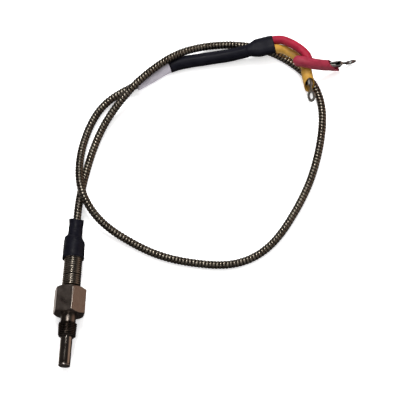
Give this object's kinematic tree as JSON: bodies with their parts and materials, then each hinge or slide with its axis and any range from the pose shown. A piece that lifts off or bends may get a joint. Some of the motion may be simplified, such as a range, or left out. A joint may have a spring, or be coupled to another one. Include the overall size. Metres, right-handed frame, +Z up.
{
  "type": "thermocouple",
  "caption": "Armoured-lead thermocouple: steel probe with taper-threaded hexagon fitting, coil-spring strain relief, looped armour cable, and red and yellow leads in ring terminals.",
  "frame": {"origin": "middle of the probe's bounding box in plan, on the surface the thermocouple lies on; the cable and its leads are left out of that box", "axes": "+Y along the probe from its tip towards the cable, +Z up from the surface it lies on, +X to the right when looking along +Y"},
  "size_m": [0.1568, 0.1993, 0.0179],
  "materials": {
    "sheath_steel": "drawn and polished",
    "fitting_steel": "machined, slightly dull",
    "spring_steel": "bright drawn wire",
    "armour_steel": "wound strip, olive grey",
    "thermoelement_alloy": "oxidised nickel alloy wire",
    "tinned_copper": "bright tin plate",
    "braze": "as flowed",
    "ceramic": "fired, matte",
    "cement": "dry cement",
    "black_shrink": "satin heat-shrink tube",
    "white_shrink": "matte heat-shrink tube",
    "red_insulation": "soft extruded jacket",
    "dark_red_sleeve": "satin sleeve",
    "yellow_insulation": "soft extruded jacket",
    "conductor_wrap": "glass fibre wrap"
  },
  "bodies": {
    "root": {"tip_cap": "sheath_steel", "sheath_tube": "sheath_steel", "junction_bead": "thermoelement_alloy", "ceramic_insulator": "ceramic", "end_cement": "cement", "positive_thermoelement": "thermoelement_alloy", "negative_thermoelement": "thermoelement_alloy", "threaded_fitting": "fitting_steel", "braze_ring": "braze", "crimp_ferrule": "sheath_steel", "strain_relief_spring": "spring_steel", "shrink_boot": "black_shrink", "cable_armour": "armour_steel", "white_sleeve": "white_shrink", "black_sleeve": "black_shrink", "breakout_sleeve": "black_shrink", "red_lead": "red_insulation", "yellow_lead": "yellow_insulation", "red_terminal_sleeve": "dark_red_sleeve", "yellow_terminal_sleeve": "yellow_insulation", "red_ring_terminal": "tinned_copper", "yellow_ring_terminal": "tinned_copper", "negative_conductor": "conductor_wrap", "positive_conductor": "conductor_wrap"}
  },
  "joints": []
}
